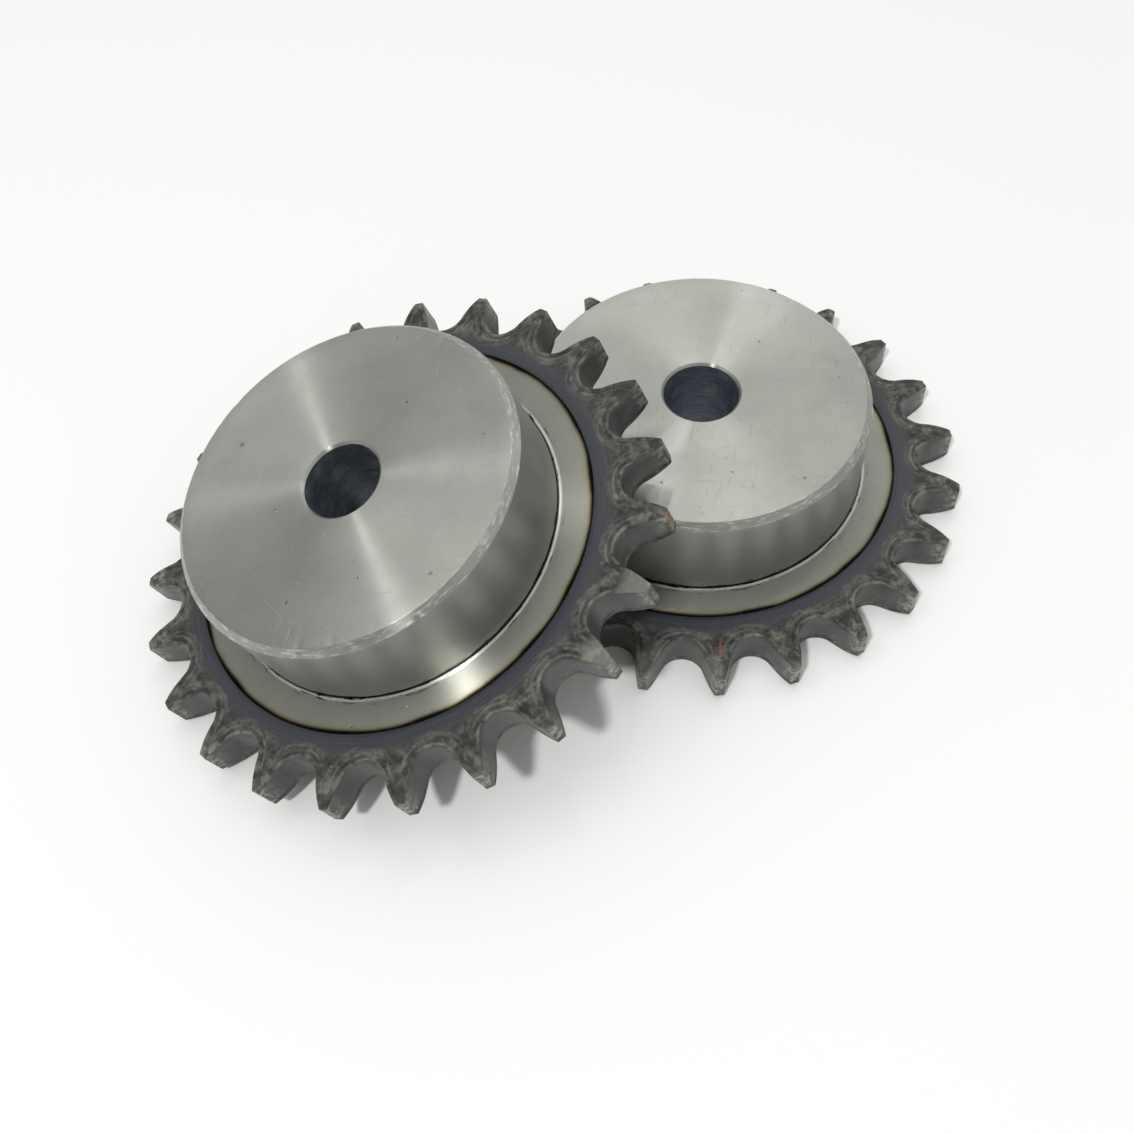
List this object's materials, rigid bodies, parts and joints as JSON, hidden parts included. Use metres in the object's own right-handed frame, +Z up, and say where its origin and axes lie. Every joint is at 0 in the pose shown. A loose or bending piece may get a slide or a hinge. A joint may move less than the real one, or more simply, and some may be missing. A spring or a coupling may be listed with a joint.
{
  "type": "roller chain sprocket pair",
  "caption": "Equal steel roller-chain sprockets with a hub on one side and a plain pilot bore; one lies flat and the other leans on its hub.",
  "frame": {"origin": "on the lower sprocket's axis, at its underside", "axes": "+Z up along the lower sprocket's bore, out of its hub; the other sprocket leans from -X, raised at its +X side"},
  "size_m": [0.1604, 0.1057, 0.0495],
  "materials": {
    "turned_steel": "turned bright",
    "hardened_steel": "dark oxide with a heat-tint border",
    "weld_steel": "turned flush"
  },
  "bodies": {
    "lower_sprocket": {"lower_toothed_plate": "hardened_steel", "lower_hub": "turned_steel", "lower_foot_weld": "weld_steel", "lower_back_weld": "weld_steel"},
    "leaning_sprocket": {"leaning_toothed_plate": "hardened_steel", "leaning_hub": "turned_steel", "leaning_foot_weld": "weld_steel", "leaning_back_weld": "weld_steel"}
  },
  "joints": [
    {"name": "lift_off", "type": "slide", "parent": "lower_sprocket", "child": "leaning_sprocket", "axis": [0, 0, 1], "range_m": [0, 0.06]}
  ]
}
